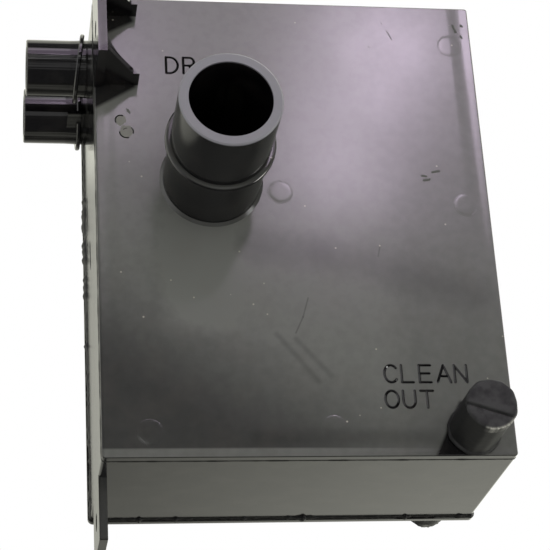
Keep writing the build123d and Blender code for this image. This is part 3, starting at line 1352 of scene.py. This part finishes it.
@dataclass
class Studio:
    """Floor, white surroundings and soft lamps.

    The surroundings are steps on the ray's direction: behind_start on its Y, behind_sides on its
    X, and behind_low and behind_top on its Z, each of these two with the factors at its start and
    end. The window's lower and upper edges are steps on the ray's elevation.
    """

    floor_z: float = -0.33
    floor_size: float = 6.0
    floor_colour: str = "#f4f4f2"
    floor_roughness: float = 0.9
    diffuse_level: float = 0.8
    front_level: float = 0.12
    behind_start: tuple[float, float] = (-0.02, 0.12)
    behind_levels: tuple[float, float] = (0.55, 1.55)
    behind_sides: tuple[float, float] = (0.0, 0.3)
    behind_low: tuple[float, float, float, float] = (-0.75, 0.1, 0.15, 1.0)
    behind_top: tuple[float, float, float, float] = (0.455, 0.475, 1.0, 1.7)
    behind_colour: str = "#fefef0"
    window_colour: str = "#f5e1fb"
    window_level: float = 1.6
    window_low_deg: tuple[float, float] = (29.7, 30.4)
    window_tilt: float = 0.30
    window_high_deg: tuple[float, float] = (62.0, 50.0)
    window_side: tuple[float, float] = (-0.35, -0.55)
    window_glows: tuple[Glow, ...] = (
        Glow(14.3, 31.3, 1.9, 13.7),
        Glow(15.5, 31.3, 1.5, 5.7),
        Glow(3.9, 30.9, 2.2, 9.7),
        Glow(11.7, 27.0, 2.6, 14.5),
        Glow(13.6, 30.8, 3.0, 7.4),
    )
    side_glows: tuple[Glow, ...] = (
        Glow(91.0, -21.0, 16.0, 12.0),
        Glow(10.0, 56.0, 9.0, 3.0),
        Glow(12.0, -8.0, 7.0, 1.2),
        Glow(0.5, 13.0, 4.2, 2.6),
        Glow(2.0, -20.0, 12.0, 0.55),
        Glow(-90.0, 10.0, 60.0, 0.9),
        Glow(174.0, -65.0, 18.0, 0.5),
    )
    lamps: tuple[SoftBox, ...] = (
        SoftBox("soft_box", (0.55, -1.15, 0.30), (0.05, 0.0, -0.05), (1.1, 0.9), 0.7, "#fffdf8"),
    )

    def build(self) -> None:
        """Make the floor, the world and the lamps."""
        self.floor()
        self.world()
        for lamp in self.lamps:
            lamp.build()

    def floor(self) -> None:
        """A plain pale floor that keeps the object's shadow."""
        half = self.floor_size / 2
        mesh = bpy.data.meshes.new("floor")
        corners = [(-half, -half), (half, -half), (half, half), (-half, half)]
        mesh.from_pydata([(x, y, self.floor_z) for x, y in corners], [], [(0, 1, 2, 3)])
        floor = place_object("floor", mesh)
        material = bpy.data.materials.new("painted_floor")
        material.use_nodes = True
        shader = material.node_tree.nodes["Principled BSDF"]
        shader.inputs["Base Color"].default_value = linear(self.floor_colour)
        shader.inputs["Roughness"].default_value = self.floor_roughness
        mesh.materials.append(material)
        floor.visible_glossy = False

    def world(self) -> None:
        """White for camera rays, a plain level for diffuse rays and a bright room for glossy ones.

        Glossy rays see a pale wall behind the object, dimmer near the floor and lighter towards
        its right and its top, a dim room in front of it, a window overhead with a slanted lower
        edge that fades out behind, and the glows.
        """
        world = bpy.data.worlds.new("studio")
        bpy.context.scene.world = world
        world.use_nodes = True
        graph = Graph(world.node_tree)
        graph.tree.nodes.clear()
        way = graph.add("ShaderNodeTexCoord").outputs["Generated"]
        axes = graph.axes(way)
        behind = graph.ramp(axes["Y"], *self.behind_start)
        pale_wall = graph.chain(
            "MULTIPLY", graph.ramp(axes["X"], *self.behind_sides, *self.behind_levels),
            graph.ramp(axes["Z"], *self.behind_low), graph.ramp(axes["Z"], *self.behind_top),
        )
        room = graph.between(behind, self.front_level, pale_wall)

        tilted = graph.math("MULTIPLY_ADD", axes["X"], self.window_tilt, axes["Z"])
        window = graph.chain(
            "MULTIPLY", graph.ramp(tilted, *np.sin(np.radians(self.window_low_deg)).tolist()),
            graph.ramp(axes["Z"], *np.sin(np.radians(self.window_high_deg)).tolist()),
            graph.ramp(axes["Y"], *self.window_side),
        )
        glows = [glow.build(graph, way) for glow in self.window_glows]
        light = graph.math("MULTIPLY_ADD", window, graph.chain("ADD", self.window_level, *glows), room)
        light = graph.chain("ADD", light, *[glow.build(graph, way) for glow in self.side_glows])
        tint = graph.layered("#ffffff", (behind, self.behind_colour), (window, self.window_colour))

        path = graph.add("ShaderNodeLightPath").outputs
        mirrored = graph.math("MAXIMUM", path["Is Glossy Ray"], path["Is Transmission Ray"])
        sky = graph.background(WHITE, self.diffuse_level)
        for share, layer in (
            (mirrored, graph.background(tint, light)), (path["Is Camera Ray"], graph.background(WHITE, 1.0)),
        ):
            sky = graph.add("ShaderNodeMixShader", {0: share, 1: sky, 2: layer}).outputs[0]
        graph.add("ShaderNodeOutputWorld", {"Surface": sky})


def main() -> None:
    """Dress the trap, set up the studio and the camera, and report each piece."""
    logging.basicConfig(level=logging.INFO, format="%(name)s: %(message)s")
    bpy.context.scene.view_settings.view_transform = "Standard"
    abs_finish = MouldedAbs().build()
    clean_finish = MouldedAbs(name="clean_black_abs", bloom_share=0.0).build()
    # The drain's root fillet has no bloom, so it stays dark as painted shade at the spigot's root.
    dull_shaded_finish = MouldedAbs(
        name="dull_shaded_black_abs", bloom_share=0.0, roughness_low=0.5, roughness_high=0.6
    ).build()
    blister_finish = MouldedAbs(
        name="blistered_black_abs", bloom_colour="#76766e", roughness_low=0.4, roughness_high=0.6
    ).build()
    weld_finish = WeldFlash().build()
    vinyl_finish = DippedVinyl().build()

    housing = Housing()
    housing.dress(abs_finish, clean_finish, blister_finish, weld_finish)
    Drain().dress(dull_shaded_finish)
    for marking in (
        Marking("marking_drain", "DRAIN", 20.0, 112.5, 3.5, 5.1, 4.8),
        Marking("marking_clean", "CLEAN", 74.1, 20.4, 3.6, 4.8, 4.77),
        Marking("marking_out", "OUT", 73.9, 13.3, 3.7, 4.7, 4.8),
    ):
        marking.dress(clean_finish)
    for cap in (
        PushCap("front_cap_skin", "cleanout_cap", Body.FRONT_CAP, 0.0, -1, 17.7),
        PushCap("rear_cap_skin", "rear_cleanout_cap", Body.REAR_CAP, housing.depth, 1, 6.0),
    ):
        cap.dress(vinyl_finish)
    Studio().build()
    Viewpoint().build()


if __name__ == "__main__":
    main()
